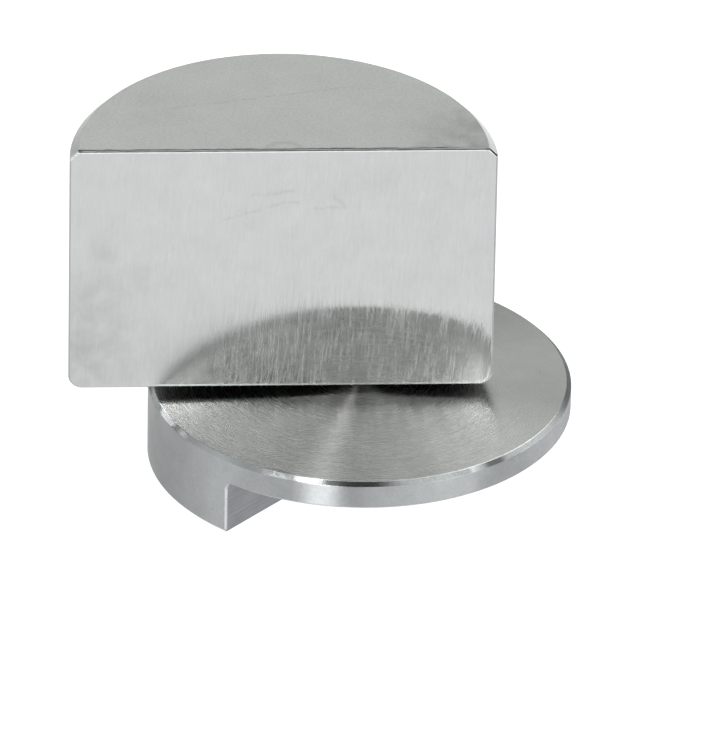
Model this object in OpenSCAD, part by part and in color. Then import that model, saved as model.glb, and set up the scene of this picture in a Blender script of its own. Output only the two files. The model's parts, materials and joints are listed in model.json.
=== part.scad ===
// Pivot hinge for a frameless glass door, made of two round leaves of one diameter.
// The base leaf is a disc with a half-moon lug below it: the disc's free half lies on a
// glass plate and the lug's flat bears on the plate's edge. The door block is half a
// cylinder whose flat is bonded to the glass door. It turns above the disc on a hidden
// pin, in a flanged bush whose flange keeps the two leaves apart.
// The pivot is the Z axis, Z = 0 is the lug's underside, and the flats face -Y when shut.

/* [Leaves] */
// Diameter that both leaves are turned to
leaf_d = 44; // [42:1:60]
// Height of the door block
block_h = 28; // [22:1:40]
// Thickness of the base leaf's disc
disc_t = 3; // [2:0.5:5]
// Depth of the lug below the disc, which is the thickness of the glass plate
lug_h = 6; // [4:1:12]
// How far the lug's flat stands forward of the disc's turning centre
lug_forward = 0.7; // [0:0.1:2]
// How far the door block's flat lies behind its turning centre
flat_back = 0.3; // [0:0.1:1]

/* [Pivot] */
// Distance of the pivot behind both leaves' turning centres
pivot_back = 11.5; // [10:0.5:12]
// Diameter of the pivot pin
pin_d = 6; // [5:1:7]
// How far the pivot pin stands up out of the disc
pin_reach = 10.5; // [9:0.5:13]
// Wall of the bush's sleeve
bush_wall = 1; // [0.8:0.1:1.2]
// Diameter of the bush's flange
flange_d = 12; // [11:0.5:13]
// Thickness of the bush's flange, which is the gap between the leaves
flange_t = 0.8; // [0.5:0.1:1.5]
// Radial running clearance between pin and bush
running_fit = 0.03; // [0.01:0.01:0.1]

/* [Edges] */
// Turned chamfer round the top of the door block
block_chamfer = 0.9; // [0.3:0.1:2]
// Turned radius round the foot of the door block
block_round = 1.5; // [0.5:0.1:2.5]
// Turned chamfer round the top of the disc
disc_chamfer = 0.45; // [0.2:0.05:1]
// Turned chamfer round the foot of the lug
lug_chamfer = 0.4; // [0.2:0.05:1]
// Radius in the corner between the lug's flat and the disc's underside
corner_r = 0.8; // [0.3:0.1:1.5]
// Width of the edge break along the milled edges
edge_break = 0.2; // [0.1:0.05:0.4]

/* [Position] */
// Angle that the door block stands open at rest
open_angle = 47; // [0:1:180]

/* [Hidden] */

// Parts of a circle that turned faces are drawn with
$fn = 180;
leaf_r = leaf_d / 2;
pin_r = pin_d / 2;
sleeve_r = pin_r + running_fit + bush_wall;

// Levels above the lug's underside
disc_bottom = lug_h;
disc_top = disc_bottom + disc_t;
block_bottom = disc_top + flange_t;

// Floor left under the pin's blind bore in the base leaf
bore_floor = 1.5;
// Lead-in chamfer at the mouth of the pin's bore in the base leaf
pin_lead_in = 0.3;
// Chamfer at each end of the pin
pin_chamfer = 0.8;
// Part of the sleeve that reaches past the pin's end
sleeve_spare = 1.2;
// Room between the sleeve's end and the foot of its bore
bore_spare = 1;
// Lead-in chamfer at the mouth of the bush's bore in the door block
lead_in = 0.5;
// Half of the angle of a drill's point
drill_half_angle = 59;
// Chamfer round the flange and the far end of the bush
bush_chamfer = 0.2;

pin_l = disc_top - bore_floor + pin_reach;
sleeve_l = pin_reach - flange_t + sleeve_spare;

// Overlap that lets a cutter run out of the face that it starts in
over = 1;
// Size that reaches past either leaf from anywhere in it
reach = leaf_d + block_h;

steel = [0.72, 0.73, 0.72];
bright_steel = [0.82, 0.83, 0.84];
dark_plastic = [0.12, 0.12, 0.13];

// Half the width of a flat milled at a given distance from the turning centre.
function half_chord(distance) = sqrt(leaf_r * leaf_r - distance * distance);

// Square section standing on its corner. Carried along a square edge, it cuts a
// 45 degree break of the given width.
module break_section(width) {
    rotate(45)
        square(width * sqrt(2), center = true);
}

// Cutter for a straight edge along X, centred on the origin.
module break_along_x(length) {
    rotate([90, 0, 90])
        linear_extrude(length, center = true)
            break_section(edge_break);
}

// Cutter for a straight edge that a turned chamfer leaves in the flat Y = 0. It is
// centred on the corner that the chamfer takes off, at the right of the flat and above it.
module break_over_chamfer(chamfer) {
    translate([-chamfer / 2, 0, -chamfer / 2])
        rotate([0, 45, 0])
            break_along_x(2 * chamfer * sqrt(2));
}

// Cutter for an edge that turns a quarter round about Y, from +X up to +Z.
module break_quarter_round(radius) {
    rotate([90, 0, 0])
        rotate_extrude(angle = 90)
            translate([radius, 0])
                break_section(edge_break);
}

// Both children, one as drawn at the right of the flat and one mirrored to the left.
module both_ends() {
    children();
    mirror([1, 0, 0])
        children();
}

// Everything in front of the plane Y = 0 and below the level z_top.
module front_of(z_top) {
    translate([-reach, -reach, z_top - 2 * reach])
        cube([2 * reach, reach, 2 * reach]);
}

// Half profile of the door block's turned blank: chamfer above, radius below.
module block_profile() {
    square([leaf_r - block_round, block_h / 2]);
    translate([leaf_r - block_round, block_round])
        circle(block_round);
    polygon([
        [0, block_round],
        [leaf_r, block_round],
        [leaf_r, block_h - block_chamfer],
        [leaf_r - block_chamfer, block_h],
        [0, block_h],
    ]);
}

// Half profile of the base leaf's turned blank, chamfered above and below.
module base_profile() {
    polygon([
        [0, 0],
        [leaf_r - lug_chamfer, 0],
        [leaf_r, lug_chamfer],
        [leaf_r, disc_top - disc_chamfer],
        [leaf_r - disc_chamfer, disc_top],
        [0, disc_top],
    ]);
}

// Section of the milled rebate that leaves the lug standing: open below and in front,
// with a round inner corner. X here runs towards the lug, and Y runs up.
module rebate_section() {
    translate([-reach, -over])
        square([reach - corner_r, disc_bottom + over]);
    translate([-reach, -over])
        square([reach, disc_bottom + over - corner_r]);
    translate([-corner_r, disc_bottom - corner_r])
        circle(corner_r);
}

// Rebate under the disc's free half, with the breaks along its edges.
module rebate() {
    rotate([90, 0, 90])
        linear_extrude(2 * reach, center = true)
            rebate_section();
    break_along_x(leaf_d);
    both_ends() {
        translate([half_chord(lug_forward), 0, 0]) {
            linear_extrude(2 * (disc_bottom - corner_r), center = true)
                break_section(edge_break);
            mirror([0, 0, 1])
                break_over_chamfer(lug_chamfer);
        }
        translate([half_chord(lug_forward + corner_r / 2), -corner_r, disc_bottom - corner_r])
            rotate([0, 0, 90])
                break_quarter_round(corner_r);
    }
}

// Ring that breaks the lower edge of the disc's free half.
module free_rim_break() {
    intersection() {
        rotate_extrude()
            translate([leaf_r, disc_bottom])
                break_section(edge_break);
        translate([0, -lug_forward - corner_r, 0])
            front_of(disc_top);
    }
}

// Disc and half-moon lug, turned and milled from one piece, with the pin's blind bore.
module base_leaf() {
    color(steel)
    difference() {
        translate([0, -pivot_back, 0])
            difference() {
                rotate_extrude()
                    base_profile();
                translate([0, -lug_forward, 0])
                    rebate();
                free_rim_break();
            }
        translate([0, 0, bore_floor])
            cylinder(h = disc_top, r = pin_r);
        translate([0, 0, disc_top - pin_lead_in])
            cylinder(h = pin_lead_in, r1 = pin_r, r2 = pin_r + pin_lead_in);
    }
}

// The milled flat of the door block, with a break right round its outline.
module block_flat() {
    front_of(block_h + over);
    for (level = [0, block_h])
        translate([0, 0, level])
            break_along_x(leaf_d);
    both_ends() {
        translate([half_chord(flat_back), 0, 0])
            linear_extrude(2 * reach, center = true)
                break_section(edge_break);
        translate([half_chord(flat_back), 0, block_h])
            break_over_chamfer(block_chamfer);
        translate([half_chord(flat_back) - block_round, 0, block_round])
            mirror([0, 0, 1])
                break_quarter_round(block_round);
    }
}

// Blind bore for the bush, with a lead-in at its mouth and a drill point at its foot.
module bush_bore() {
    depth = sleeve_l + bore_spare;
    translate([0, 0, -over])
        cylinder(h = over + depth, r = sleeve_r);
    cylinder(h = lead_in, r1 = sleeve_r + lead_in, r2 = sleeve_r);
    translate([0, 0, depth])
        cylinder(h = sleeve_r / tan(drill_half_angle), r1 = sleeve_r, r2 = 0);
}

// Half cylinder with a milled flat near its turning centre, drilled from below.
module door_block() {
    color(steel)
    rotate([0, 0, -open_angle])
    translate([0, 0, block_bottom])
    difference() {
        translate([0, -pivot_back, 0])
            difference() {
                rotate_extrude()
                    block_profile();
                translate([0, flat_back, 0])
                    block_flat();
            }
        bush_bore();
    }
}

// Ground pin, pressed into the base leaf and chamfered at both ends.
module pivot_pin() {
    color(bright_steel)
    translate([0, 0, bore_floor])
        rotate_extrude()
            polygon([
                [0, 0],
                [pin_r - pin_chamfer, 0],
                [pin_r, pin_chamfer],
                [pin_r, pin_l - pin_chamfer],
                [pin_r - pin_chamfer, pin_l],
                [0, pin_l],
            ]);
}

// Flanged bush, pressed into the door block: the sleeve runs on the pin and the
// flange slides on the disc.
module pivot_bush() {
    bore_r = pin_r + running_fit;
    flange_r = flange_d / 2;
    top = flange_t + sleeve_l;
    color(dark_plastic)
    translate([0, 0, disc_top])
        rotate_extrude()
            polygon([
                [bore_r, 0],
                [flange_r - bush_chamfer, 0],
                [flange_r, bush_chamfer],
                [flange_r, flange_t],
                [sleeve_r, flange_t],
                [sleeve_r, top - bush_chamfer],
                [sleeve_r - bush_chamfer, top],
                [bore_r, top],
            ]);
}

base_leaf();
door_block();
pivot_pin();
pivot_bush();
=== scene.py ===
"""Finishes and studio for a pivot hinge of a frameless glass door.

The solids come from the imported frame. Both leaves are satin stainless steel: turned
round the leaf's axis, then milled or ground flat. A point on a leaf is given in
millimetres from that axis, X along the milled flat, Y behind it and Z up.
"""

import json
import math

import bpy
import numpy as np
from mathutils import Matrix, Vector


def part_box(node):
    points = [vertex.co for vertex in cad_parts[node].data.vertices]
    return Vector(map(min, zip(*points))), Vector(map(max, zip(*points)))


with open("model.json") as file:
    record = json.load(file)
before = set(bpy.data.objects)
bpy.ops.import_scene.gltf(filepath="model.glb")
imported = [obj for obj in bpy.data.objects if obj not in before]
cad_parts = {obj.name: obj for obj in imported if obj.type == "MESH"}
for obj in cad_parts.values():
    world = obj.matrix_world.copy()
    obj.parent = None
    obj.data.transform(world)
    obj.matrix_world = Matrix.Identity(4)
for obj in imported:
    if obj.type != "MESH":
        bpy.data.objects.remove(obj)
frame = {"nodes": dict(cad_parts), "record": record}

bl_info = {
    "name": "Pivot hinge finishes",
    "version": (1, 0, 0),
    "blender": (4, 5, 0),
    "location": "3D View > Sidebar > Hinge",
    "description": "Steel and bearing finishes and a small studio for a glass door's pivot hinge",
    "category": "Material",
}

PER_METRE = 1000.0  # millimetres in a metre
MM = 1.0 / PER_METRE
MIX_SOCKETS = {"FLOAT": (2, 3, 0), "VECTOR": (4, 5, 1), "RGBA": (6, 7, 2)}  # two sources and the output


def mount(name):
    """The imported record's mount of that name."""
    return next(m for m in frame["record"]["mounts"] if m["name"] == name)


def millimetres(corner):
    return np.array(corner) * PER_METRE


LEAF_LOW, LEAF_HIGH = map(millimetres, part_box("base_leaf"))
BLOCK_LOW, BLOCK_HIGH = map(millimetres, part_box("door_block"))
LEAF_RADIUS = (LEAF_HIGH[0] - LEAF_LOW[0]) / 2
AXIS_FORWARD = -(LEAF_HIGH[1] + LEAF_LOW[1]) / 2
DISC_TOP = LEAF_HIGH[2]
DISC_UNDERSIDE = mount("plate_top")["pos_m"][2] * PER_METRE
BLOCK_FOOT, BLOCK_TOP = BLOCK_LOW[2], BLOCK_HIGH[2]
DOOR_NORMAL = Vector(mount("door_face")["axis"])
DOOR_FLAT = AXIS_FORWARD - Vector(mount("door_face")["pos_m"]).dot(DOOR_NORMAL) * PER_METRE
BLOCK_TURN = math.atan2(DOOR_NORMAL.x, -DOOR_NORMAL.y)


# Scratches and darker patches on the door block, in millimetres in its leaf's frame. Some of the patches are
# painted shade.
# Scratches: start, end, width, and how dark they are.
SCRATCHES = (
    ((-6.0, DOOR_FLAT, 29.6), (0.2, DOOR_FLAT, 31.6), 0.3, 0.09),
    ((0.0, DOOR_FLAT, 31.5), (3.2, DOOR_FLAT, 32.0), 0.26, 0.09),
    ((-3.2, DOOR_FLAT, 32.5), (0.9, DOOR_FLAT, 32.9), 0.4, 0.09),
    ((2.8, DOOR_FLAT, 30.9), (6.4, DOOR_FLAT, 31.0), 0.3, 0.09),
    ((5.2, DOOR_FLAT, 32.2), (6.6, DOOR_FLAT, 30.9), 0.5, 0.09),
    ((-13.0, 9.0, BLOCK_TOP), (6.9, 13.6, BLOCK_TOP), 0.3, 0.13),
)
# Darker patches: centre, how far they reach, and how dark they are. Those on the flat and the top's left
# darken the steel in soft, broken patches; those on the top's right end are painted shade.
DARK_PATCHES = (
    ((-18.3, DOOR_FLAT, 26.3), 3.0, 0.12),
    ((-19.0, DOOR_FLAT, 20.5), 5.5, 0.17),
    ((-14.0, DOOR_FLAT, 22.5), 4.0, 0.08),
    ((-21.0, DOOR_FLAT, 15.0), 10.0, 0.22),
    ((9.5, DOOR_FLAT, 34.0), 3.0, 0.06),
    # Painted shade: the top darker towards its right end and along the right of its front edge.
    ((21.0, 3.0, BLOCK_TOP), 11.0, 0.34),
    ((14.5, 0.6, BLOCK_TOP), 2.4, 0.36),
    ((17.0, 0.7, BLOCK_TOP), 2.6, 0.42),
    ((19.5, 0.8, BLOCK_TOP), 2.2, 0.42),
    ((-14.0, 9.0, BLOCK_TOP), 7.0, 0.06),
)
CENTRE_MARK_RADIUS = 1.9  # ring that the facing tool leaves about the block's turning centre
CENTRE_MARK_WIDTH = 0.6  # how far that ring reaches to either side
CENTRE_MARK_DARKNESS = 0.13
SCRATCH_BEND = 0.8  # how far a scratch strays from its line
SCRATCH_TONES = (0.35, 0.6)  # tones of the noise between which a scratch goes from gone to full
PATCH_TONES = (0.2, 0.8)  # tones of the noise between which a patch goes from its least to full
PATCH_LEAST = 0.3
NICK = (-20.9, -6.6, DISC_TOP - 0.1)  # middle of the nick in the disc's chamfer
NICK_REACH = 1.8  # how far it reaches from there
NICK_RADII = (LEAF_RADIUS - 0.9, LEAF_RADIUS - 0.5)  # radii over which the nick grows to its full depth

SKIN = 0.02  # a face's mask ends between one and two skins below the face
FOOT_ROUND = 1.5  # round of the door flat's lower corners
FLAT_HALF = 21.9  # half of the door flat's width

# Where a finish changes on the base leaf, as a start and an end in its frame.
LEFT_TO_RIGHT = (-1.0, 1.0)  # X from the leaf's left half to its right
FRONT_TO_BACK = (-1.0, 1.0)  # Y from the leaf's front half to its back
LOWER_TO_UPPER = (DISC_UNDERSIDE + 1.2, DISC_UNDERSIDE + 1.4)  # Z from the disc's lower half to its upper
REBATE_TO_OUTSIDE = (LEAF_RADIUS - 0.3, LEAF_RADIUS - 0.25)  # radius from the rebate to the turned outside
RUBBED_CHAMFER = (-5.3, 5.6)  # Y between which the chamfer is rubbed dull on the left
RUBBED_SOFT = 0.8  # how far that stretch's ends fade to either side
BRIGHT_TO_SATIN = (-7.1, -5.5)  # X past which the chamfer is satin, as the rim is
PAINTED_SHADE_ON_CHAMFER = (-5.0, -2.6)  # X between which the chamfer is painted dark in front: painted shade where its reflection turns dark
PAINTED_SHADE_SOFT = 0.6  # how far that stretch's ends fade to either side
PAINTED_SHADE_DARKNESS = 0.65

# Where a finish changes on the door block, and where shade is painted on it, in its leaf's frame.
TURNED_TO_CHAMFER = (BLOCK_TOP - 1.2, BLOCK_TOP - 1.0)  # Z from the turned outside to the chamfer
MATT_TO_BRIGHT = (-15.0, -5.0)  # X from the chamfer's matt left side to its bright right side
EASED_TO_PRESSED = (-14.0, 6.0)  # X from where the grinding belt was eased off to where it was pressed
CORNER_RIGHT = (15.0, 21.5)  # X towards the flat's handled lower right corner
CORNER_DOWN = (BLOCK_FOOT + 1.0, BLOCK_FOOT + 7.0)  # Z from that corner to the rest of the flat
EDGE_UP = (BLOCK_TOP - 0.4, BLOCK_TOP - 0.25)  # Z towards the polished upper front edge
EDGE_BACK = (DOOR_FLAT + 0.25, DOOR_FLAT + 0.4)  # Y from that edge backwards
HANDLED_UP = (BLOCK_TOP - 1.2, BLOCK_TOP - 0.8)  # Z towards the stretch of that edge that hands have rounded
HANDLED_BACK = (DOOR_FLAT + 0.8, DOOR_FLAT + 1.2)  # Y from that stretch backwards
HANDLED_SIDE = (FLAT_HALF - 1.3, FLAT_HALF - 1.0)  # distance from the middle at which it ends
ROLLED_SIDE = (FLAT_HALF - 1.0, FLAT_HALF + 0.3)  # X over which the flat rolls off to its right edge
ROLL_DEPTH = 0.08  # how far it has rolled off there
BURR_WIDTH = (0.15, 0.45)  # distance from the flat's outline over which its burr dies away
BURR_UP = (BLOCK_FOOT + FOOT_ROUND, BLOCK_FOOT + FOOT_ROUND + 1.0)  # Z over which it dies away upwards
LIP_WIDTH = 0.26  # width of the dark lip that runs along the block's upper front edge: painted shade for the dark that the edge reflects
LIP_SOFT = 0.12  # width over which its back fades
LIP_END = (16.0, 19.0)  # X over which the dark lip fades to its lighter right end
LIP_END_DARKNESS = 0.4

# Marks of the tools: pitch or width, unbroken length or arc, and depth where it isn't a property.
LAND_TO_GROOVE = (0.35, 0.65)  # tones of the fine rings between which a land becomes a groove
RING_SHARE = 0.7  # share of the rings in the tone of the disc's face, the rest being speckle
HAIR_SHARE = 0.6  # share of the hairs in the tone of the door flat, the rest being speckle
FINE_RING_ARC = 24.0
BROAD_RING_PITCH = 1.6
BROAD_RING_ARC = 30.0
BROAD_RING_DEPTH = 0.0004
BLOCK_RING_ARC = 22.0
PIN_RING_PITCH = 0.05
PIN_RING_ARC = 12.0
PIN_RING_DEPTH = 0.001
PIN_TONES = (0.2, 0.8)  # tones of the rings between which the pin goes from smooth to rough
PIN_ROUGHNESS = (0.1, 0.2)
STREAK_SLIDE = 6.0  # lengths by which other noise slides a streak along itself
MILL_MARK_WIDTH = 0.25
MILL_MARK_LENGTH = 6.0
MILL_MARK_DEPTH = 0.006
DASH_LENGTH = 1.7
DASH_LEAN = -0.08
DASH_TONES = (0.43, 0.66)  # tones of the noise between which a dash goes from smooth to rough
DASH_ROUGHNESS = (-0.03, 0.08)  # what that adds to the flat's roughness
EASED_DEPTH = 0.3  # share of a dash's depth that is left where the belt was eased off
HAIR_WIDTH = 0.2
HAIR_LENGTH = 1.2
HAIR_LEAN = -0.05
HAIR_DEPTH = 0.0008
SCRATCH_DEPTH = 0.04
DISC_SPECKLE_DEPTH = 0.003
MATT_SPECKLE_DEPTH = 0.004
MATT_GRAINS = 40.0  # grains in a millimetre of a matt face, each with its own direction
LEAF_CLOUD_SIZE = 2.5  # size of the faint clouds in the steel's tone
BLOCK_CLOUD_SIZE = 3.5
BUSH_SPECKLE_SIZE = 0.12
FLECK_TONES = (0.55, 0.75)  # tones of the speckle between which the bush's plastic becomes a fleck
BUSH_TONES = (0.3, 0.7)  # tones of the speckle between which the plastic goes from smooth to rough
BUSH_ROUGHNESS = (0.5, 0.62)
PIVOT_EDGE_RADIUS = 0.05  # radius of the pin's and the bush's edges

# Round reflectors that stand in the dark room: azimuth, elevation, how wide their even middle is,
# how wide they are where they have faded out (all in degrees), and how bright.
REFLECTORS = (
    (-68.0, 2.0, 4.0, 20.0, 6.4),
    (-68.0, 14.0, 4.0, 20.0, 6.1),
    (-86.0, 58.0, 8.0, 15.0, 2.4),
    (-97.0, 18.0, 8.0, 22.0, 3.0),
    (-30.0, 8.0, 8.0, 48.0, 2.6),
    (0.0, 8.0, 8.0, 48.0, 3.9),
    (-44.0, 20.0, 4.0, 14.0, 2.2),
    (0.0, 50.0, 8.0, 48.0, 0.8),
    (-120.0, 8.0, 8.0, 48.0, 1.7),
    (-144.0, 28.0, 8.0, 48.0, 1.4),
    (-120.0, 50.0, 8.0, 48.0, 0.55),
    (-120.0, 70.0, 8.0, 48.0, 0.85),
    (144.0, 28.0, 8.0, 48.0, 1.0),
    (72.0, 28.0, 8.0, 48.0, 2.8),
    (90.0, 50.0, 8.0, 48.0, 0.7),
    (60.0, 50.0, 8.0, 48.0, 2.75),
    (60.0, 70.0, 8.0, 48.0, 1.6),
    (0.0, 90.0, 8.0, 48.0, 0.65),
)
# Softboxes: azimuth and elevation in degrees, distance, width and height in metres.
OVERHEAD_SOFTBOX = (-140.0, 80.5, 0.9, 0.03, 0.03)
SIDE_SOFTBOX = (-71.0, 28.0, 0.8, 0.25, 0.22)
FLOOR_HALF = 3.0  # half of the floor's side, in metres


class Bench:
    """Lays nodes in one tree. Each call takes numbers or output sockets and returns the new node's output."""

    def __init__(self, tree):
        self.tree = tree

    def add(self, kind, **settings):
        node = self.tree.nodes.new(kind)
        for name, value in settings.items():
            setattr(node, name, value)
        return node

    def feed(self, socket, source):
        if isinstance(source, bpy.types.NodeSocket):
            self.tree.links.new(source, socket)
        else:
            socket.default_value = source

    def math(self, operation, *sources, clamp=False):
        node = self.add("ShaderNodeMath", operation=operation, use_clamp=clamp)
        for socket, source in zip(node.inputs, sources):
            self.feed(socket, source)
        return node.outputs[0]

    def vector(self, operation, *sources):
        node = self.add("ShaderNodeVectorMath", operation=operation)
        for socket, source in zip(node.inputs, sources):
            self.feed(socket, source)
        measures = ("LENGTH", "DOT_PRODUCT", "DISTANCE")
        return node.outputs["Value" if operation in measures else "Vector"]

    def scaled(self, vector, factor):
        node = self.add("ShaderNodeVectorMath", operation="SCALE")
        self.feed(node.inputs["Vector"], vector if isinstance(vector, bpy.types.NodeSocket) else vector[:3])
        self.feed(node.inputs["Scale"], factor)
        return node.outputs["Vector"]

    def split(self, vector):
        node = self.add("ShaderNodeSeparateXYZ")
        self.feed(node.inputs[0], vector)
        return node.outputs[0], node.outputs[1], node.outputs[2]

    def join(self, x, y, z):
        node = self.add("ShaderNodeCombineXYZ")
        for socket, source in zip(node.inputs, (x, y, z)):
            self.feed(socket, source)
        return node.outputs[0]

    def ramp(self, value, start, end, low=0.0, high=1.0):
        """A smooth step from low at start to high at end, level outside them."""
        node = self.add("ShaderNodeMapRange", interpolation_type="SMOOTHSTEP")
        for name, source in (
            ("Value", value),
            ("From Min", start),
            ("From Max", end),
            ("To Min", low),
            ("To Max", high),
        ):
            self.feed(node.inputs[name], source)
        return node.outputs["Result"]

    def fall(self, value, start, end):
        """1 up to start, falling smoothly to 0 at end."""
        return self.ramp(value, start, end, 1.0, 0.0)

    def span(self, value, low, high, soft):
        """1 where the value lies between low and high, 0 outside, with soft edges."""
        rise = self.ramp(value, low - soft, low + soft)
        return self.times(rise, self.fall(value, high - soft, high + soft))

    def reached(self, value, face):
        """1 where the value has come up to a face, 0 more than two skins short of it."""
        return self.ramp(value, face - 2 * SKIN, face - SKIN)

    def mix(self, factor, first, second, kind="FLOAT"):
        """The first where the factor is 0, the second where it is 1, and a blend between."""
        node = self.add("ShaderNodeMix", data_type=kind)
        place_of_first, place_of_second, result = MIX_SOCKETS[kind]
        self.feed(node.inputs[0], factor)
        self.feed(node.inputs[place_of_first], first)
        self.feed(node.inputs[place_of_second], second)
        return node.outputs[result]

    def mix_vector(self, factor, first, second):
        return self.mix(factor, first, second, "VECTOR")

    def mix_colour(self, factor, first, second):
        return self.mix(factor, first, second, "RGBA")

    def times(self, first, *others):
        """The product of two or more values."""
        for other in others:
            first = self.math("MULTIPLY", first, other)
        return first

    def most(self, first, *others):
        """The greatest of two or more values."""
        for other in others:
            first = self.math("MAXIMUM", first, other)
        return first

    def length(self, x, y):
        """How far the point x, y is from the origin of its plane."""
        return self.vector("LENGTH", self.join(x, y, 0.0))

    def inverse(self, mask):
        return self.math("SUBTRACT", 1.0, mask)

    def varied(self, value, tone, depth):
        """The value raised where the tone is above a half and lowered where it is below, by up to half the
        depth."""
        return self.math("MULTIPLY_ADD", self.math("SUBTRACT", tone, 0.5), depth, value)

    def shaded(self, colour, tone, depth):
        """The colour made lighter where the tone is above a half and darker where it is below, by up to half
        the depth."""
        return self.scaled(colour, self.varied(1.0, tone, depth))

    def noise(self, vector, scale=1.0, detail=2.0, roughness=0.5):
        node = self.add("ShaderNodeTexNoise", noise_dimensions="3D")
        self.feed(node.inputs["Vector"], vector)
        self.feed(node.inputs["Scale"], scale)
        self.feed(node.inputs["Detail"], detail)
        self.feed(node.inputs["Roughness"], roughness)
        return node.outputs[0]

    def noise_vector(self, vector, scale=1.0):
        node = self.add("ShaderNodeTexNoise", noise_dimensions="3D")
        self.feed(node.inputs["Vector"], vector)
        self.feed(node.inputs["Scale"], scale)
        return node.outputs["Color"]

    def place(self, group, **values):
        """Puts a finish group in the tree and returns its first output. Underscores stand for spaces."""
        node = self.add("ShaderNodeGroup", node_tree=group)
        for name, source in values.items():
            self.feed(node.inputs[name.replace("_", " ")], source)
        return node.outputs[0]


def finish_group(name, output, build, **inputs):
    """A shader node group with one output, built once. Each input is a default number, or None for a vector,
    and underscores in its name stand for spaces. build returns the socket that the output takes."""
    built = bpy.data.node_groups.get(name)
    if built:
        return built
    tree = bpy.data.node_groups.new(name, "ShaderNodeTree")
    for label, default in inputs.items():
        kind = "NodeSocketVector" if default is None else "NodeSocketFloat"
        socket = tree.interface.new_socket(label.replace("_", " "), in_out="INPUT", socket_type=kind)
        if default is not None:
            socket.default_value = default
    tree.interface.new_socket(output, in_out="OUTPUT", socket_type="NodeSocketFloat")
    bench = Bench(tree)
    result = build(bench, bench.add("NodeGroupInput").outputs)
    bench.feed(bench.add("NodeGroupOutput").inputs[0], result)
    return tree


def build_turned_rings(bench, given):
    """Noise that changes fast across the tool's path and slowly along it. It is read at the angle round the
    axis and at radius less height, so the rings run on unbroken from a face over its chamfer to the rim."""
    x, y, z = bench.split(given["Position"])
    outwards = bench.vector("NORMALIZE", bench.join(x, y, 0.0))
    along = bench.scaled(outwards, bench.math("DIVIDE", LEAF_RADIUS, given["Arc"]))
    across = bench.math("DIVIDE", bench.math("SUBTRACT", bench.length(x, y), z), given["Pitch"])
    return bench.noise(bench.vector("ADD", along, bench.join(0.0, 0.0, across)), detail=given["Detail"])


def build_drawn_streaks(bench, given):
    """Noise squeezed across the grinding direction and drawn out along Z, with the streaks leaning by a
    slope. Other noise slides each streak along Z by a few lengths, so that they don't start in rows."""
    x, y, z = bench.split(given["Position"])
    across = bench.math("DIVIDE", bench.math("ADD", x, bench.times(z, given["Lean"])), given["Width"])
    slide = bench.noise(bench.join(across, 0.0, 0.0), scale=0.7, detail=0.0)
    along = bench.math("MULTIPLY_ADD", slide, STREAK_SLIDE, bench.math("DIVIDE", z, given["Length"]))
    place = bench.join(across, bench.math("DIVIDE", y, given["Width"]), along)
    return bench.noise(place, detail=given["Detail"])


def build_scratch(bench, given):
    """1 on a line from Start to End and 0 away from it: the distance to the nearest point of the segment
    against the scratch's width. Noise bends the line a little, and other noise breaks it up."""
    bend = bench.vector("SUBTRACT", bench.noise_vector(given["Position"], scale=0.5), (0.5, 0.5, 0.5))
    bent = bench.vector("ADD", given["Position"], bench.scaled(bend, SCRATCH_BEND))
    run = bench.vector("SUBTRACT", given["End"], given["Start"])
    offset = bench.vector("SUBTRACT", bent, given["Start"])
    share = bench.math(
        "DIVIDE",
        bench.vector("DOT_PRODUCT", offset, run),
        bench.vector("DOT_PRODUCT", run, run),
        clamp=True,
    )
    distance = bench.vector("DISTANCE", offset, bench.scaled(run, share))
    line = bench.fall(distance, 0.0, given["Width"])
    broken = bench.ramp(bench.noise(given["Position"], scale=2.2), *SCRATCH_TONES)
    return bench.times(line, broken)


def build_soft_patch(bench, given):
    """A soft patch: 1 at Centre, falling to 0 at Reach from it, and broken up by noise."""
    distance = bench.vector("DISTANCE", given["Position"], given["Centre"])
    patch = bench.fall(bench.math("DIVIDE", distance, given["Reach"]), 0.0, 1.0)
    broken = bench.ramp(bench.noise(given["Position"], scale=0.5), *PATCH_TONES, PATCH_LEAST, 1.0)
    return bench.times(patch, broken)


def build_grain(bench, given):
    """Fine even noise of a given grain size."""
    place = bench.scaled(given["Position"], bench.math("DIVIDE", 1.0, given["Size"]))
    return bench.noise(place, detail=given["Detail"], roughness=0.6)


def finish_groups():
    """The effects that the steel and plastic materials share, by name."""
    return {
        "rings": finish_group(
            "turned_rings", "Tone", build_turned_rings, Position=None, Pitch=0.1, Arc=6.0, Detail=2.0
        ),
        "streaks": finish_group(
            "drawn_streaks",
            "Tone",
            build_drawn_streaks,
            Position=None,
            Width=0.2,
            Length=4.0,
            Lean=0.0,
            Detail=2.0,
        ),
        "scratch": finish_group(
            "scratch", "Mask", build_scratch, Position=None, Start=None, End=None, Width=0.1
        ),
        "soft_patch": finish_group("soft_patch", "Mask", build_soft_patch, Position=None, Centre=None, Reach=3.0),
        "grain": finish_group("grain", "Tone", build_grain, Position=None, Size=0.1, Detail=2.0),
    }


def leaf_position(bench, turn, axis_forward):
    """Object coordinates in millimetres from a leaf's turning axis, turned back so that its flat faces -Y."""
    coordinates = bench.add("ShaderNodeTexCoord").outputs["Object"]
    mapping = bench.add("ShaderNodeMapping", vector_type="POINT")
    bench.feed(mapping.inputs["Vector"], coordinates)
    mapping.inputs["Scale"].default_value = (PER_METRE,) * 3
    mapping.inputs["Rotation"].default_value = (0.0, 0.0, -turn)
    mapping.inputs["Location"].default_value = (0.0, axis_forward, 0.0)
    return mapping.outputs["Vector"]


def across_turned_marks(bench, position):
    """The way a turning tool moved, seen from the leaf: outwards over a face and down over a rim. Half
    outwards and half down serves both, because the shader keeps only what lies in the surface."""
    x, y, _ = bench.split(position)
    outwards = bench.vector("NORMALIZE", bench.join(x, y, 0.0))
    return bench.vector("SUBTRACT", outwards, (0.0, 0.0, 1.0))


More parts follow.
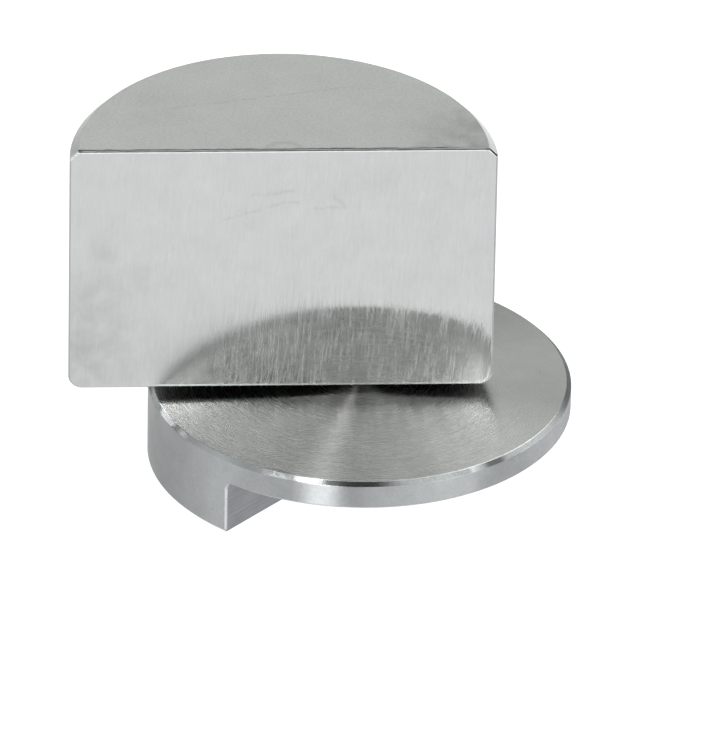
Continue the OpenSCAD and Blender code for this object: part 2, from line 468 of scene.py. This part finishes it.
def in_world(bench, direction_in_leaf, turn):
    """A direction in the leaf's own frame, turned to where the leaf stands and carried into the world."""
    turned = bench.add("ShaderNodeVectorRotate", rotation_type="Z_AXIS")
    bench.feed(turned.inputs["Vector"], direction_in_leaf)
    turned.inputs["Angle"].default_value = turn
    node = bench.add(
        "ShaderNodeVectorTransform", vector_type="VECTOR", convert_from="OBJECT", convert_to="WORLD"
    )
    bench.feed(node.inputs[0], turned.outputs["Vector"])
    return node.outputs[0]


def new_material(name):
    """A material with a Principled BSDF and its bench."""
    material = bpy.data.materials.new(name)
    material.use_nodes = True
    material.node_tree.nodes.clear()
    bench = Bench(material.node_tree)
    shader = bench.add("ShaderNodeBsdfPrincipled")
    output = bench.add("ShaderNodeOutputMaterial")
    bench.feed(output.inputs["Surface"], shader.outputs["BSDF"])
    return material, bench, shader.inputs


def worn_edges(bench, radius):
    """Normals that turn smoothly over each sharp edge, as deburring and handling leave it."""
    node = bench.add("ShaderNodeBevel", samples=8)
    bench.feed(node.inputs["Radius"], bench.times(radius, MM))
    return node.outputs["Normal"]


def relief(bench, height, normal):
    """Normals for a height in millimetres over the given ones."""
    node = bench.add("ShaderNodeBump")
    bench.feed(node.inputs["Height"], height)
    node.inputs["Distance"].default_value = MM
    bench.feed(node.inputs["Normal"], normal)
    return node.outputs["Normal"]


def base_leaf_steel(settings, groups):
    """Turned disc and lug: fine facing rings on top, a chamfer that is bright in front and satin at the
    right, a satin rim, and a duller milled rebate."""
    material, bench, shader = new_material("base_leaf_steel")
    position = leaf_position(bench, 0.0, AXIS_FORWARD)
    x, y, z = bench.split(position)
    radius = bench.length(x, y)
    fine_rings = bench.place(
        groups["rings"], Position=position, Pitch=settings.ring_pitch, Arc=FINE_RING_ARC, Detail=1.0
    )
    broad_rings = bench.place(
        groups["rings"], Position=position, Pitch=BROAD_RING_PITCH, Arc=BROAD_RING_ARC, Detail=2.0
    )
    speckle = bench.place(groups["grain"], Position=position, Size=settings.grain_size, Detail=3.0)
    cloud = bench.place(groups["grain"], Position=position, Size=LEAF_CLOUD_SIZE, Detail=4.0)
    mill_marks = bench.place(
        groups["streaks"],
        Position=bench.join(z, y, x),
        Width=MILL_MARK_WIDTH,
        Length=MILL_MARK_LENGTH,
        Detail=2.0,
    )

    face = bench.reached(z, DISC_TOP)
    outside = bench.reached(radius, LEAF_RADIUS)
    upper = bench.ramp(z, *LOWER_TO_UPPER)
    chamfer = bench.times(upper, bench.inverse(bench.most(face, outside)))
    rebate = bench.times(bench.inverse(upper), bench.fall(radius, *REBATE_TO_OUTSIDE))
    satin = bench.ramp(x, *BRIGHT_TO_SATIN)
    rubbed = bench.times(bench.span(y, *RUBBED_CHAMFER, RUBBED_SOFT), bench.fall(x, *LEFT_TO_RIGHT))
    rubbed = bench.most(rubbed, satin)
    # Painted shade on the chamfer's front, where it turns from its bright stretch to the dark that it
    # reflects.
    chamfer_painted_shade = bench.times(bench.span(x, *PAINTED_SHADE_ON_CHAMFER, PAINTED_SHADE_SOFT), bench.fall(y, *FRONT_TO_BACK), chamfer)
    nick = bench.place(groups["soft_patch"], Position=position, Centre=NICK, Reach=NICK_REACH)
    nick = bench.times(nick, bench.ramp(radius, *NICK_RADII))

    tone = bench.mix(face, speckle, bench.mix(RING_SHARE, speckle, fine_rings))
    tone = bench.mix(rebate, tone, mill_marks)
    colour = bench.mix_colour(face, settings.steel, settings.disc_steel)
    colour = bench.mix_colour(outside, colour, settings.rim_steel)
    colour = bench.mix_colour(bench.times(chamfer, rubbed), colour, settings.rim_steel)
    colour = bench.mix_colour(rebate, colour, settings.milled_steel)
    colour = bench.shaded(colour, cloud, depth=bench.mix(face, 0.34, 0.2))
    colour = bench.shaded(colour, tone, depth=bench.mix(face, 0.45, 0.2))
    # The painted shade on the chamfer darkens the colour here.
    colour = bench.scaled(colour, bench.inverse(bench.times(chamfer_painted_shade, PAINTED_SHADE_DARKNESS)))
    bench.feed(shader["Base Color"], colour)
    shader["Metallic"].default_value = 1.0

    groove = bench.ramp(fine_rings, *LAND_TO_GROOVE)
    turned = bench.mix(groove, settings.face_roughness, settings.groove_roughness)
    roughness = bench.mix(face, bench.varied(settings.rim_roughness, tone, depth=0.2), turned)
    crisp = bench.times(chamfer, bench.inverse(rubbed))
    roughness = bench.mix(crisp, roughness, settings.chamfer_roughness)
    dull = bench.most(rebate, bench.times(chamfer, satin))
    bench.feed(shader["Roughness"], bench.mix(dull, roughness, settings.milled_roughness))
    shader["Anisotropic"].default_value = settings.anisotropy
    bench.feed(shader["Tangent"], in_world(bench, across_turned_marks(bench, position), 0.0))

    rings = bench.times(fine_rings, settings.ring_depth)
    rings = bench.math("MULTIPLY_ADD", broad_rings, BROAD_RING_DEPTH, rings)
    height = bench.mix(face, bench.math("MULTIPLY_ADD", speckle, DISC_SPECKLE_DEPTH, rings), rings)
    height = bench.mix(rebate, height, bench.times(mill_marks, MILL_MARK_DEPTH))
    height = bench.math("MULTIPLY_ADD", nick, -settings.nick_depth, height)
    bench.feed(shader["Normal"], relief(bench, height, worn_edges(bench, settings.edge_radius)))
    return material


def block_marks(bench, groups, position, flat, top):
    """How dark the scratches and the darker patches make the block, as two masks; the patches on the top's
    right end are painted shade. A patch stays on its own face.
    """
    scratches = [
        bench.times(
            bench.place(groups["scratch"], Position=position, Start=start, End=end, Width=width), darkness
        )
        for start, end, width, darkness in SCRATCHES
    ]
    # Darker patches, of which those on the top's right end are painted shade.
    dark_patches = [
        bench.times(
            bench.place(groups["soft_patch"], Position=position, Centre=centre, Reach=reach),
            bench.times(top if centre[2] >= BLOCK_TOP else flat, darkness),
        )
        for centre, reach, darkness in DARK_PATCHES
    ]
    return bench.most(*scratches), bench.most(*dark_patches)


def flat_burr(bench, x, z):
    """1 on the burr along the flat's foot and its lower corners. How far a point is inside the outline is the
    corners' radius less its distance from the rectangle between their centres."""
    below = bench.most(bench.math("SUBTRACT", BLOCK_FOOT + FOOT_ROUND, z), 0.0)
    beside = bench.most(bench.math("SUBTRACT", bench.math("ABSOLUTE", x), FLAT_HALF - FOOT_ROUND), 0.0)
    from_outline = bench.math("SUBTRACT", FOOT_ROUND, bench.length(beside, below))
    return bench.times(bench.fall(from_outline, *BURR_WIDTH), bench.fall(z, *BURR_UP))


def door_block_steel(settings, groups):
    """Turned half cylinder with a facing-cut matt top and a flat ground upwards in fine, leaning streaks."""
    material, bench, shader = new_material("door_block_steel")
    position = leaf_position(bench, BLOCK_TURN, AXIS_FORWARD)
    x, y, z = bench.split(position)
    radius = bench.length(x, y)
    dashes = bench.place(
        groups["streaks"],
        Position=position,
        Width=settings.streak_width,
        Length=DASH_LENGTH,
        Lean=DASH_LEAN,
        Detail=0.5,
    )
    hairs = bench.place(
        groups["streaks"], Position=position, Width=HAIR_WIDTH, Length=HAIR_LENGTH, Lean=HAIR_LEAN, Detail=2.0
    )
    rings = bench.place(
        groups["rings"], Position=position, Pitch=settings.ring_pitch, Arc=BLOCK_RING_ARC, Detail=2.0
    )
    speckle = bench.place(groups["grain"], Position=position, Size=settings.grain_size, Detail=3.0)
    cloud = bench.place(groups["grain"], Position=position, Size=BLOCK_CLOUD_SIZE, Detail=4.0)
    unevenness = bench.noise(position, scale=0.8)

    flat = bench.fall(y, DOOR_FLAT + SKIN, DOOR_FLAT + 2 * SKIN)
    top = bench.reached(z, BLOCK_TOP)
    outside = bench.reached(radius, LEAF_RADIUS)
    turned_edge = bench.inverse(bench.most(flat, top, outside))
    chamfer = bench.ramp(z, *TURNED_TO_CHAMFER)
    rubbed = bench.times(chamfer, bench.fall(x, *MATT_TO_BRIGHT))
    matt = bench.most(top, bench.times(turned_edge, rubbed))
    # Besides the rim's duller steel, this puts the darker rim colour on the breaks and rounds below the
    # chamfer as painted shade.
    dull = bench.most(outside, bench.times(turned_edge, bench.inverse(chamfer)))
    pressed = bench.ramp(x, *EASED_TO_PRESSED)
    scratches, dark_patches = block_marks(bench, groups, position, flat, top)
    off_ring = bench.math("ABSOLUTE", bench.math("SUBTRACT", radius, CENTRE_MARK_RADIUS))
    centre_mark = bench.times(bench.fall(off_ring, 0.0, CENTRE_MARK_WIDTH), top)
    # The lip is painted shade: a dark strip on the top along its front edge, for the dark that the edge
    # reflects.
    behind_lip = bench.math("SUBTRACT", y, bench.varied(LIP_WIDTH, unevenness, depth=0.4))
    lip_painted_shade = bench.times(bench.fall(behind_lip, DOOR_FLAT, DOOR_FLAT + LIP_SOFT), top)
    lip_painted_shade = bench.times(lip_painted_shade, bench.ramp(x, *LIP_END, settings.lip_darkness, LIP_END_DARKNESS))

    tone = bench.mix(bench.times(flat, HAIR_SHARE), speckle, hairs)
    # Rim steel on the outside, and as painted shade on the edge breaks below the chamfer.
    colour = bench.mix_colour(dull, settings.steel, settings.rim_steel)
    colour = bench.mix_colour(matt, colour, settings.matt_steel)
    colour = bench.shaded(colour, cloud, depth=0.16)
    colour = bench.shaded(colour, tone, depth=bench.mix(matt, 0.2, 0.4))
    # Scratches, the centre ring, darker patches and painted shade (the lip and the top's right end) darken
    # the colour.
    marks_and_painted_shade = bench.most(scratches, dark_patches, bench.times(centre_mark, CENTRE_MARK_DARKNESS), lip_painted_shade)
    bench.feed(shader["Base Color"], bench.scaled(colour, bench.inverse(marks_and_painted_shade)))
    shader["Metallic"].default_value = 1.0

    roughness = bench.mix(matt, bench.varied(settings.rim_roughness, tone, depth=0.2), settings.top_roughness)
    ground = bench.math("ADD", settings.flat_roughness, bench.ramp(dashes, *DASH_TONES, *DASH_ROUGHNESS))
    ground = bench.mix(pressed, settings.eased_roughness, ground)
    handled_corner = bench.times(bench.ramp(x, *CORNER_RIGHT), bench.fall(z, *CORNER_DOWN))
    ground = bench.mix(handled_corner, ground, settings.corner_roughness)
    roughness = bench.mix(flat, roughness, ground)
    upper_edge = bench.times(bench.ramp(z, *EDGE_UP), bench.fall(y, *EDGE_BACK), bench.inverse(top))
    edge = bench.most(upper_edge, bench.times(turned_edge, bench.inverse(rubbed)))
    bench.feed(shader["Roughness"], bench.mix(edge, roughness, settings.chamfer_roughness))
    shader["Anisotropic"].default_value = settings.anisotropy
    across = bench.mix_vector(flat, across_turned_marks(bench, position), (1.0, 0.0, 0.0))
    every_way = bench.add("ShaderNodeTexWhiteNoise", noise_dimensions="3D")
    bench.feed(every_way.inputs["Vector"], bench.scaled(position, MATT_GRAINS))
    every_way = bench.vector("SUBTRACT", every_way.outputs["Color"], (0.5, 0.5, 0.5))
    across = bench.mix_vector(matt, across, every_way)
    bench.feed(shader["Tangent"], in_world(bench, across, BLOCK_TURN))

    dash_depth = bench.times(settings.streak_depth, bench.mix(pressed, EASED_DEPTH, 1.0))
    ground = bench.math("ADD", bench.times(dashes, dash_depth), bench.times(hairs, HAIR_DEPTH))
    ground = bench.math("MULTIPLY_ADD", flat_burr(bench, x, z), settings.burr_height, ground)
    ground = bench.math("MULTIPLY_ADD", bench.ramp(x, *ROLLED_SIDE), -ROLL_DEPTH, ground)
    height = bench.mix(flat, bench.times(rings, settings.ring_depth), ground)
    height = bench.mix(matt, height, bench.times(speckle, MATT_SPECKLE_DEPTH))
    height = bench.math("MULTIPLY_ADD", scratches, -SCRATCH_DEPTH, height)
    handled = bench.times(
        bench.ramp(z, *HANDLED_UP),
        bench.fall(y, *HANDLED_BACK),
        bench.fall(bench.math("ABSOLUTE", x), *HANDLED_SIDE),
    )
    worn = bench.varied(settings.handled_edge_radius, unevenness, depth=0.3)
    edge_radius = bench.mix(handled, settings.edge_radius, worn)
    bench.feed(shader["Normal"], relief(bench, height, worn_edges(bench, edge_radius)))
    return material


def pin_steel(settings, groups):
    """Ground pin with fine marks round it."""
    material, bench, shader = new_material("pin_steel")
    position = leaf_position(bench, 0.0, 0.0)
    rings = bench.place(
        groups["rings"], Position=position, Pitch=PIN_RING_PITCH, Arc=PIN_RING_ARC, Detail=2.0
    )
    bench.feed(shader["Base Color"], bench.shaded(settings.steel, rings, depth=0.2))
    shader["Metallic"].default_value = 1.0
    bench.feed(shader["Roughness"], bench.ramp(rings, *PIN_TONES, *PIN_ROUGHNESS))
    height = bench.times(rings, PIN_RING_DEPTH)
    bench.feed(shader["Normal"], relief(bench, height, worn_edges(bench, PIVOT_EDGE_RADIUS)))
    return material


def bush_plastic(settings, groups):
    """Dark bearing plastic, dull where moulded and with a fine speckle of its dry lubricant."""
    material, bench, shader = new_material("bush_plastic")
    position = leaf_position(bench, 0.0, 0.0)
    speckle = bench.place(groups["grain"], Position=position, Size=BUSH_SPECKLE_SIZE, Detail=2.0)
    flecks = bench.ramp(speckle, *FLECK_TONES)
    bench.feed(shader["Base Color"], bench.mix_colour(flecks, settings.bush_colour, settings.bush_speckle))
    bench.feed(shader["Roughness"], bench.ramp(speckle, *BUSH_TONES, *BUSH_ROUGHNESS))
    height = bench.times(speckle, MATT_SPECKLE_DEPTH)
    bench.feed(shader["Normal"], relief(bench, height, worn_edges(bench, PIVOT_EDGE_RADIUS)))
    return material


def give(node, material):
    """Puts the material in every material slot of a CAD node's object."""
    for slot in frame["nodes"][node].material_slots:
        slot.material = material


def colour_property(name, description, default):
    return bpy.props.FloatVectorProperty(
        name=name, description=description, subtype="COLOR", size=4, min=0.0, max=1.0, default=default
    )


def length_property(name, description, default):
    """A length kept in millimetres."""
    return bpy.props.FloatProperty(name=name, description=description, default=default, min=0.0)


def share_property(name, description, default):
    return bpy.props.FloatProperty(
        name=name, description=description, subtype="FACTOR", default=default, min=0.0, max=1.0
    )


def strength_property(name, description, default):
    return bpy.props.FloatProperty(name=name, description=description, default=default, min=0.0)


def power_property(name, description, default):
    return bpy.props.FloatProperty(
        name=name, description=description, subtype="POWER", default=default, min=0.0
    )


def angle_property(name, description, degrees):
    return bpy.props.FloatProperty(
        name=name, description=description, subtype="ANGLE", default=math.radians(degrees)
    )


class HingeFinishProperties(bpy.types.PropertyGroup):
    """Colours, grain and wear of the steel and the bush."""

    steel: colour_property("Steel", "Clean steel, as on the ground flat", (0.572, 0.583, 0.582, 1.0))
    disc_steel: colour_property("Disc steel", "Turned steel of the disc's face", (0.588, 0.585, 0.562, 1.0))
    matt_steel: colour_property("Matt steel", "Fine matt steel of the block's top", (0.66, 0.665, 0.642, 1.0))
    # Rim steel is also painted as shade on the door block's edge breaks below its chamfer.
    rim_steel: colour_property("Rim steel", "Duller steel of the turned outsides", (0.40, 0.41, 0.415, 1.0))
    milled_steel: colour_property("Milled steel", "Steel of the milled rebate", (0.375, 0.38, 0.395, 1.0))
    ring_pitch: length_property("Ring pitch (mm)", "Distance between two turned rings", 0.13)
    ring_depth: length_property("Ring depth (mm)", "Depth of the turned rings", 0.0002)
    streak_width: length_property("Streak width (mm)", "Width of a grinding streak on the door flat", 0.2)
    streak_depth: length_property("Streak depth (mm)", "Depth of the grinding streaks", 0.007)
    nick_depth: length_property("Nick depth (mm)", "Depth of the nick in the disc's chamfer", 0.15)
    edge_radius: length_property("Edge radius (mm)", "Radius that wear gives the sharp edges", 0.12)
    # The dark lip is painted shade along the block's upper front edge.
    lip_darkness: share_property("Dark lip", "How dark the strip along the block's upper front edge is", 0.9)
    handled_edge_radius: length_property(
        "Handled edge radius (mm)", "Radius that wear gives the block's upper front edge", 0.3
    )
    burr_height: length_property("Burr height (mm)", "Height of the burr along the door flat's foot", 0.03)
    grain_size: length_property("Grain size (mm)", "Size of the fine grain on matt faces", 0.3)
    face_roughness: share_property(
        "Disc face roughness", "Roughness of the lands on the disc's turned face", 0.255
    )
    groove_roughness: share_property(
        "Disc groove roughness", "Roughness of the grooves between the lands", 0.275
    )
    rim_roughness: share_property("Rim roughness", "Roughness of the turned outsides", 0.37)
    milled_roughness: share_property("Rebate roughness", "Roughness of the milled rebate", 0.45)
    chamfer_roughness: share_property("Chamfer roughness", "Roughness of the chamfers and edge breaks", 0.13)
    top_roughness: share_property("Block top roughness", "Roughness of the block's upper face", 0.42)
    flat_roughness: share_property("Door flat roughness", "Roughness of the block's ground flat", 0.135)
    corner_roughness: share_property(
        "Corner roughness", "Roughness of the door flat's lower right corner, where it was handled", 0.25
    )
    eased_roughness: share_property(
        "Eased flat roughness", "Roughness of the door flat's left side, where the belt was eased off", 0.19
    )
    anisotropy: share_property("Anisotropy", "How far turned marks draw out a highlight", 1.0)
    bush_colour: colour_property("Bush", "Bearing plastic", (0.03, 0.03, 0.032, 1.0))
    bush_speckle: colour_property("Bush speckle", "Dry lubricant in the plastic", (0.07, 0.07, 0.072, 1.0))


class HingeStudioProperties(bpy.types.PropertyGroup):
    """Floor, light and camera."""

    floor_colour: colour_property("Floor", "Plain floor", (0.25, 0.25, 0.25, 1.0))
    floor_glow: strength_property(
        "Floor glow", "Light that comes up through the floor, as from a light table", 0.76
    )
    floor_white: strength_property("Floor white", "How bright the camera sees that light", 0.97)
    room_colour: colour_property("Room", "Light that comes from all round", (0.955, 0.985, 0.985, 1.0))
    room_strength: strength_property("Room strength", "Strength of the light from all round", 0.02)
    overhead_power: power_property("Overhead power", "Power of the overhead softbox", 0.32)
    side_power: power_property("Side power", "Power of the softbox beside the camera", 2.1)
    azimuth: angle_property("Azimuth", "Side that the camera stands on, 0 being -Y", -50.27)
    elevation: angle_property("Elevation", "Height of the camera above the horizon", 29.75)
    roll: angle_property("Roll", "Turn of the camera about its own axis", 1.137)
    distance: bpy.props.FloatProperty(
        name="Distance",
        description="Distance from the camera to the point that it aims at",
        unit="LENGTH",
        default=1.3,
        min=0.1,
    )
    view_height: bpy.props.FloatProperty(
        name="View height",
        description="What the camera sees from top to bottom at that point",
        unit="LENGTH",
        default=0.07585,
        min=0.01,
    )
    aim: bpy.props.FloatVectorProperty(
        name="Aim",
        description="Point that the camera aims at",
        subtype="TRANSLATION",
        unit="LENGTH",
        default=(0.00047, -0.01111, 0.01006),
    )


def direction(azimuth, elevation):
    """Unit vector from the hinge towards a place in the room."""
    level = math.cos(elevation)
    return Vector((math.sin(azimuth) * level, -math.cos(azimuth) * level, math.sin(elevation)))


def make_floor(studio):
    """A flat square floor at the lug's foot."""
    corners = FLOOR_HALF * np.array([[-1, -1, 0], [1, -1, 0], [1, 1, 0], [-1, 1, 0]])
    mesh = bpy.data.meshes.new("floor")
    mesh.from_pydata(corners.tolist(), [], [(0, 1, 2, 3)])
    floor = bpy.data.objects.new("floor", mesh)
    bpy.context.scene.collection.objects.link(floor)
    material, bench, shader = new_material("floor_paper")
    shader["Base Color"].default_value = studio.floor_colour
    shader["Roughness"].default_value = 0.9
    shader["Specular IOR Level"].default_value = 0.1
    shader["Emission Color"].default_value = (1.0, 1.0, 1.0, 1.0)
    camera_ray = bench.add("ShaderNodeLightPath").outputs["Is Camera Ray"]
    bench.feed(shader["Emission Strength"], bench.mix(camera_ray, studio.floor_glow, studio.floor_white))
    mesh.materials.append(material)


def make_room(studio):
    """World light: a dark room with round, soft-edged reflectors. The camera sees it white."""
    world = bpy.data.worlds.new("studio")
    world.use_nodes = True
    world.node_tree.nodes.clear()
    bpy.context.scene.world = world
    bench = Bench(world.node_tree)
    toward = bench.add("ShaderNodeTexCoord").outputs["Generated"]
    strength = studio.room_strength
    for azimuth, elevation, middle, width, brightness in REFLECTORS:
        facing = direction(math.radians(azimuth), math.radians(elevation))
        nearness = bench.vector("DOT_PRODUCT", toward, tuple(facing))
        edge, centre = math.cos(math.radians(width / 2)), math.cos(math.radians(middle / 2))
        strength = bench.math("ADD", strength, bench.ramp(nearness, edge, centre, 0.0, brightness))
    camera_ray = bench.add("ShaderNodeLightPath").outputs["Is Camera Ray"]
    strength = bench.mix(camera_ray, strength, 1.0)
    background = bench.add("ShaderNodeBackground")
    bench.feed(background.inputs["Color"], studio.room_colour)
    bench.feed(background.inputs["Strength"], strength)
    output = bench.add("ShaderNodeOutputWorld")
    bench.feed(output.inputs["Surface"], background.outputs[0])


def make_softbox(name, plan, aim, power):
    """A rectangular area light that faces the aim from where its plan says. The camera doesn't see it."""
    azimuth, elevation, distance, width, height = plan
    outwards = direction(math.radians(azimuth), math.radians(elevation))
    lamp = bpy.data.lights.new(name, "AREA")
    lamp.shape = "RECTANGLE"
    lamp.size, lamp.size_y = width, height
    lamp.energy = power
    softbox = bpy.data.objects.new(name, lamp)
    facing = (-outwards).to_track_quat("-Z", "Y").to_matrix().to_4x4()
    softbox.matrix_world = Matrix.Translation(aim + outwards * distance) @ facing
    softbox.visible_camera = False
    bpy.context.scene.collection.objects.link(softbox)


def make_camera(studio):
    """Camera on a long lens: aim point, side, height, distance and roll."""
    out = direction(studio.azimuth, studio.elevation)
    level = Vector((math.cos(studio.azimuth), math.sin(studio.azimuth), 0.0))
    above = out.cross(level)
    right = level * math.cos(studio.roll) + above * math.sin(studio.roll)
    up = above * math.cos(studio.roll) - level * math.sin(studio.roll)
    data = bpy.data.cameras.new("camera")
    data.lens = data.sensor_width * studio.distance / studio.view_height
    data.clip_start, data.clip_end = 0.01, 10.0
    camera = bpy.data.objects.new("camera", data)
    turn = Matrix((right, up, out)).transposed().to_4x4()
    camera.matrix_world = Matrix.Translation(Vector(studio.aim) + out * studio.distance) @ turn
    bpy.context.scene.collection.objects.link(camera)
    bpy.context.scene.camera = camera


class HINGE_OT_finish_base_leaf(bpy.types.Operator):
    """Give the disc and lug their turned and milled steel"""

    bl_idname = "hinge.finish_base_leaf"
    bl_label = "Finish base leaf"

    def execute(self, context):
        give("base_leaf", base_leaf_steel(context.scene.hinge_finish, finish_groups()))
        return {"FINISHED"}


class HINGE_OT_finish_door_block(bpy.types.Operator):
    """Give the door block its turned and ground steel"""

    bl_idname = "hinge.finish_door_block"
    bl_label = "Finish door block"

    def execute(self, context):
        give("door_block", door_block_steel(context.scene.hinge_finish, finish_groups()))
        return {"FINISHED"}


class HINGE_OT_finish_pivot(bpy.types.Operator):
    """Give the pin its ground steel and the bush its bearing plastic"""

    bl_idname = "hinge.finish_pivot"
    bl_label = "Finish pin and bush"

    def execute(self, context):
        settings, groups = context.scene.hinge_finish, finish_groups()
        give("pivot_pin", pin_steel(settings, groups))
        give("pivot_bush", bush_plastic(settings, groups))
        return {"FINISHED"}


class HINGE_OT_set_studio(bpy.types.Operator):
    """Lay the floor, light the room and set up the camera"""

    bl_idname = "hinge.set_studio"
    bl_label = "Set studio"

    def execute(self, context):
        studio = context.scene.hinge_studio
        make_floor(studio)
        make_room(studio)
        aim = Vector(studio.aim)
        make_softbox("overhead_softbox", OVERHEAD_SOFTBOX, aim, studio.overhead_power)
        make_softbox("side_softbox", SIDE_SOFTBOX, aim, studio.side_power)
        make_camera(studio)
        context.scene.view_settings.view_transform = "Standard"
        return {"FINISHED"}


class HINGE_PT_panel(bpy.types.Panel):
    """Finishes and studio of the hinge"""

    bl_idname = "HINGE_PT_panel"
    bl_label = "Pivot hinge"
    bl_space_type = "VIEW_3D"
    bl_region_type = "UI"
    bl_category = "Hinge"

    def draw(self, context):
        layout = self.layout
        for settings in (context.scene.hinge_finish, context.scene.hinge_studio):
            box = layout.box()
            for name in settings.__annotations__:
                box.prop(settings, name)
        for operator in OPERATORS:
            layout.operator(operator.bl_idname)


OPERATORS = (
    HINGE_OT_finish_base_leaf,
    HINGE_OT_finish_door_block,
    HINGE_OT_finish_pivot,
    HINGE_OT_set_studio,
)
CLASSES = (HingeFinishProperties, HingeStudioProperties, *OPERATORS, HINGE_PT_panel)


def register():
    for cls in CLASSES:
        bpy.utils.register_class(cls)
    bpy.types.Scene.hinge_finish = bpy.props.PointerProperty(type=HingeFinishProperties)
    bpy.types.Scene.hinge_studio = bpy.props.PointerProperty(type=HingeStudioProperties)


def unregister():
    del bpy.types.Scene.hinge_studio
    del bpy.types.Scene.hinge_finish
    for cls in reversed(CLASSES):
        bpy.utils.unregister_class(cls)


def main():
    """Registers the add-on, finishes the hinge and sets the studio."""
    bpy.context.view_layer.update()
    register()
    bpy.ops.hinge.finish_base_leaf()
    bpy.ops.hinge.finish_door_block()
    bpy.ops.hinge.finish_pivot()
    bpy.ops.hinge.set_studio()


if __name__ == "__main__":
    main()
